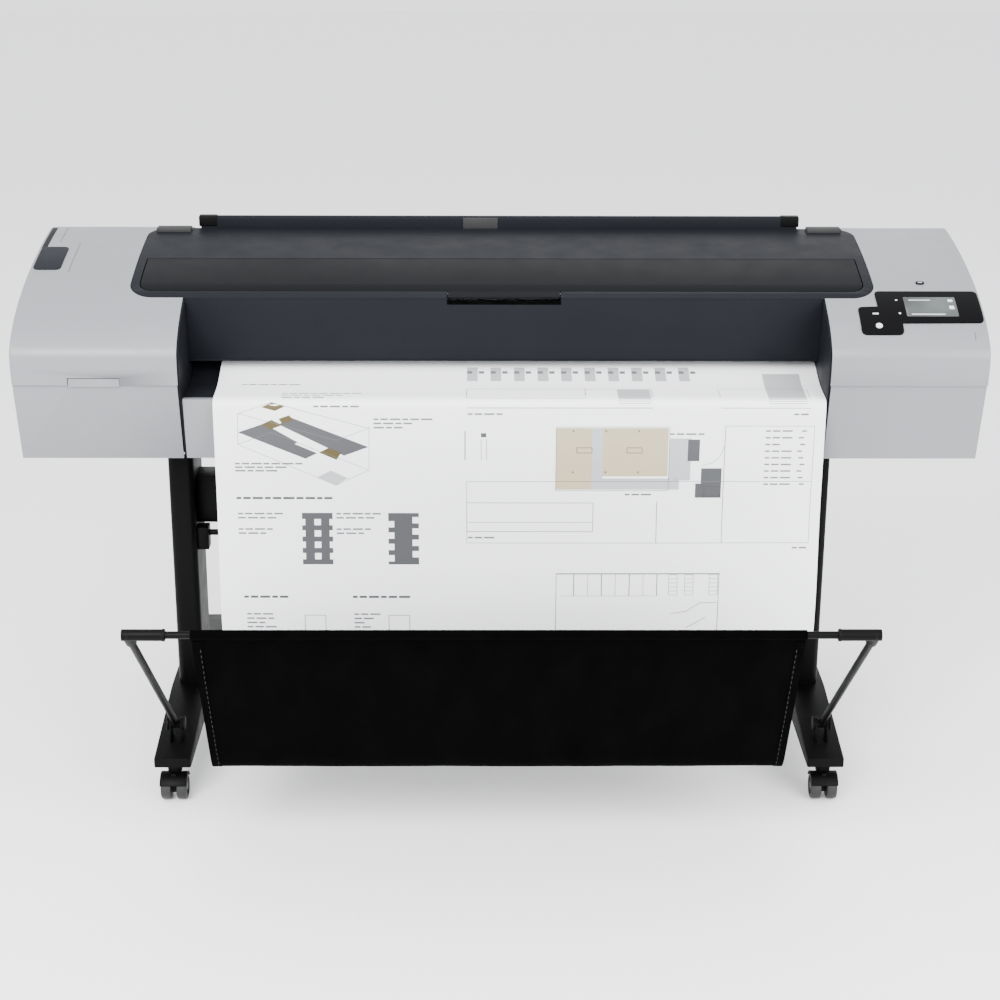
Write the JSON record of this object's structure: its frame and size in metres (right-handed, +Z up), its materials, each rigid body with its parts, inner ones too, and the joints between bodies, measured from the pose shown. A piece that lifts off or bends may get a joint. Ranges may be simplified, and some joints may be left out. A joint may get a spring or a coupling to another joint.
{
  "type": "large format plotter",
  "caption": "Wide roll-fed inkjet plotter on a wheeled stand, with hinged covers, a moving print carriage and a folding cloth basket for the prints.",
  "frame": {"origin": "middle of the footprint on the floor, under the machine", "axes": "+X to the right as seen from the front, +Y to the back, +Z up"},
  "size_m": [1.768, 1.104, 1.05],
  "materials": {
    "silver_plastic": "fine spark texture, satin",
    "dark_plastic": "fine texture, satin",
    "window_plastic": "smoked, satin gloss",
    "black_plastic": "matt moulded",
    "black_metal": "powder coat",
    "steel": "zinc plated sheet",
    "roller_steel": "fine grit",
    "brass": "machined",
    "nylon": "natural nylon",
    "rubber": "moulded",
    "wheel_tyre": "moulded tread",
    "printhead_plastic": "moulded",
    "cartridge_black": "moulded",
    "cartridge_magenta": "moulded",
    "cartridge_yellow": "moulded",
    "cartridge_cyan": "moulded",
    "cartridge_grey": "moulded",
    "bezel_gloss": "high gloss",
    "screen": "display glass",
    "button_white": "satin",
    "badge_gloss": "high gloss",
    "paper": "matt coated",
    "basket_cloth": "woven polyester"
  },
  "bodies": {
    "machine": {"chassis": "steel", "main_beam": "steel", "carriage_rails": "steel", "carriage_belt": "rubber", "drive_motors": "black_plastic", "print_platen": "dark_plastic", "output_shelf": "dark_plastic", "service_station": "dark_plastic", "ink_bay": "black_plastic", "maintenance_cartridge": "black_plastic", "wing_left": "silver_plastic", "wing_right": "silver_plastic", "right_lower_cover": "silver_plastic", "inner_walls": "dark_plastic", "window_frame": "dark_plastic", "lower_front_panel": "silver_plastic", "rear_cover": "silver_plastic", "paper_sheet": "paper", "spindle_cradles": "black_plastic", "control_panel": "bezel_gloss", "touch_screen": "screen", "badge": "badge_gloss", "rear_sockets": "black_plastic", "legs": "black_metal", "feet": "black_metal", "cross_beam": "black_metal", "basket_brackets": "black_metal", "basket_fabric": "basket_cloth"},
    "carriage": {"carriage": "dark_plastic", "printheads": "printhead_plastic"},
    "drive_pulley": {"drive_pulley": "steel"},
    "idler_pulley": {"idler_pulley": "steel"},
    "feed_roller": {"drive_roller": "roller_steel", "feed_gear": "nylon"},
    "feed_pinion": {"feed_pinion": "brass"},
    "pinch_rollers": {"pinch_rollers": "rubber"},
    "maintenance_door": {"maintenance_door": "silver_plastic"},
    "ink_door": {"ink_door": "silver_plastic"},
    "window": {"window": "window_plastic"},
    "roll_cover": {"roll_cover": "dark_plastic"},
    "roll": {"spindle": "black_plastic", "paper_roll": "paper"},
    "power_button": {"power_button": "button_white"},
    "power_switch": {"power_switch": "black_plastic"},
    "basket": {"basket_arms": "black_metal", "basket_front_rod": "black_metal"},
    "ink_cartridge_1": {"ink_cartridge_1": "cartridge_black"},
    "ink_cartridge_2": {"ink_cartridge_2": "cartridge_magenta"},
    "ink_cartridge_3": {"ink_cartridge_3": "cartridge_yellow"},
    "ink_cartridge_4": {"ink_cartridge_4": "cartridge_cyan"},
    "ink_cartridge_5": {"ink_cartridge_5": "cartridge_grey"},
    "ink_cartridge_6": {"ink_cartridge_6": "cartridge_black"},
    "caster_front_left": {"caster_fork_front_left": "black_plastic"},
    "wheels_front_left": {"caster_wheels_front_left": "wheel_tyre"},
    "caster_front_right": {"caster_fork_front_right": "black_plastic"},
    "wheels_front_right": {"caster_wheels_front_right": "wheel_tyre"},
    "caster_rear_left": {"caster_fork_rear_left": "black_plastic"},
    "wheels_rear_left": {"caster_wheels_rear_left": "wheel_tyre"},
    "caster_rear_right": {"caster_fork_rear_right": "black_plastic"},
    "wheels_rear_right": {"caster_wheels_rear_right": "wheel_tyre"}
  },
  "joints": [
    {"name": "carriage_slide", "type": "slide", "parent": "machine", "child": "carriage", "axis": [-1, 0, 0], "range_m": [0, 1.43]},
    {"name": "drive_pulley_turn", "type": "hinge", "parent": "machine", "child": "drive_pulley", "pos_m": [0.835, 0.178, 0.902], "axis": [0, 0, 1], "range_deg": [-8200, 0]},
    {"name": "idler_pulley_turn", "type": "hinge", "parent": "machine", "child": "idler_pulley", "pos_m": [-0.84, 0.178, 0.902], "axis": [0, 0, 1], "range_deg": [-8200, 0]},
    {"name": "feed_turn", "type": "hinge", "parent": "machine", "child": "feed_roller", "pos_m": [0, 0.186, 0.818], "axis": [1, 0, 0], "continuous": true},
    {"name": "feed_pinion_turn", "type": "hinge", "parent": "machine", "child": "feed_pinion", "pos_m": [0.616, 0.21149, 0.79251], "axis": [1, 0, 0], "continuous": true},
    {"name": "pinch_turn", "type": "hinge", "parent": "machine", "child": "pinch_rollers", "pos_m": [0, 0.186, 0.8371], "axis": [1, 0, 0], "continuous": true},
    {"name": "ink_cartridge_1_push", "type": "slide", "parent": "machine", "child": "ink_cartridge_1", "axis": [0, -1, 0], "range_m": [0, 0.008]},
    {"name": "ink_cartridge_2_push", "type": "slide", "parent": "machine", "child": "ink_cartridge_2", "axis": [0, -1, 0], "range_m": [0, 0.008]},
    {"name": "ink_cartridge_3_push", "type": "slide", "parent": "machine", "child": "ink_cartridge_3", "axis": [0, -1, 0], "range_m": [0, 0.008]},
    {"name": "ink_cartridge_4_push", "type": "slide", "parent": "machine", "child": "ink_cartridge_4", "axis": [0, -1, 0], "range_m": [0, 0.008]},
    {"name": "ink_cartridge_5_push", "type": "slide", "parent": "machine", "child": "ink_cartridge_5", "axis": [0, -1, 0], "range_m": [0, 0.008]},
    {"name": "ink_cartridge_6_push", "type": "slide", "parent": "machine", "child": "ink_cartridge_6", "axis": [0, -1, 0], "range_m": [0, 0.008]},
    {"name": "maintenance_door_hinge", "type": "hinge", "parent": "machine", "child": "maintenance_door", "pos_m": [0.881, 0.166, 0.704], "axis": [0, 1, 0], "range_deg": [0, 90]},
    {"name": "ink_door_hinge", "type": "hinge", "parent": "machine", "child": "ink_door", "pos_m": [-0.735, -0.084, 0.684], "axis": [1, 0, 0], "range_deg": [0, 75]},
    {"name": "window_hinge", "type": "hinge", "parent": "machine", "child": "window", "pos_m": [0.003, 0.121, 1.00176], "axis": [-1, 0, 0], "range_deg": [0, 70]},
    {"name": "roll_cover_hinge", "type": "hinge", "parent": "machine", "child": "roll_cover", "pos_m": [0.004, 0.45, 0.905], "axis": [-1, 0, 0], "range_deg": [0, 100]},
    {"name": "roll_turn", "type": "hinge", "parent": "machine", "child": "roll", "pos_m": [0, 0.368, 0.935], "axis": [1, 0, 0], "continuous": true},
    {"name": "power_button_press", "type": "slide", "parent": "machine", "child": "power_button", "axis": [0, 0.534, -0.8455], "range_m": [0, 0.0015], "stiffness_N_per_m": 400},
    {"name": "power_switch_rock", "type": "hinge", "parent": "machine", "child": "power_switch", "pos_m": [0.471, 0.45, 0.728], "axis": [1, 0, 0], "range_deg": [0, 14]},
    {"name": "basket_fold", "type": "hinge", "parent": "machine", "child": "basket", "pos_m": [0, -0.099, 0.135], "axis": [-1, 0, 0], "range_deg": [0, 32]},
    {"name": "swivel_front_left", "type": "hinge", "parent": "machine", "child": "caster_front_left", "pos_m": [-0.6275, -0.136, 0.06], "axis": [0, 0, 1], "continuous": true},
    {"name": "spin_front_left", "type": "hinge", "parent": "caster_front_left", "child": "wheels_front_left", "pos_m": [-0.6275, -0.148, 0.025], "axis": [1, 0, 0], "continuous": true},
    {"name": "swivel_front_right", "type": "hinge", "parent": "machine", "child": "caster_front_right", "pos_m": [0.6275, -0.136, 0.06], "axis": [0, 0, 1], "continuous": true},
    {"name": "spin_front_right", "type": "hinge", "parent": "caster_front_right", "child": "wheels_front_right", "pos_m": [0.6275, -0.148, 0.025], "axis": [1, 0, 0], "continuous": true},
    {"name": "swivel_rear_left", "type": "hinge", "parent": "machine", "child": "caster_rear_left", "pos_m": [-0.6275, 0.506, 0.06], "axis": [0, 0, 1], "continuous": true},
    {"name": "spin_rear_left", "type": "hinge", "parent": "caster_rear_left", "child": "wheels_rear_left", "pos_m": [-0.6275, 0.518, 0.025], "axis": [1, 0, 0], "continuous": true},
    {"name": "swivel_rear_right", "type": "hinge", "parent": "machine", "child": "caster_rear_right", "pos_m": [0.6275, 0.506, 0.06], "axis": [0, 0, 1], "continuous": true},
    {"name": "spin_rear_right", "type": "hinge", "parent": "caster_rear_right", "child": "wheels_rear_right", "pos_m": [0.6275, 0.518, 0.025], "axis": [1, 0, 0], "continuous": true}
  ],
  "couplings": [
    {"joint": "drive_pulley_turn", "follows": "carriage_slide", "rad_per_m": -100},
    {"joint": "idler_pulley_turn", "follows": "carriage_slide", "rad_per_m": -100},
    {"joint": "feed_pinion_turn", "follows": "feed_turn", "ratio": -3},
    {"joint": "pinch_turn", "follows": "feed_turn", "ratio": -2}
  ]
}
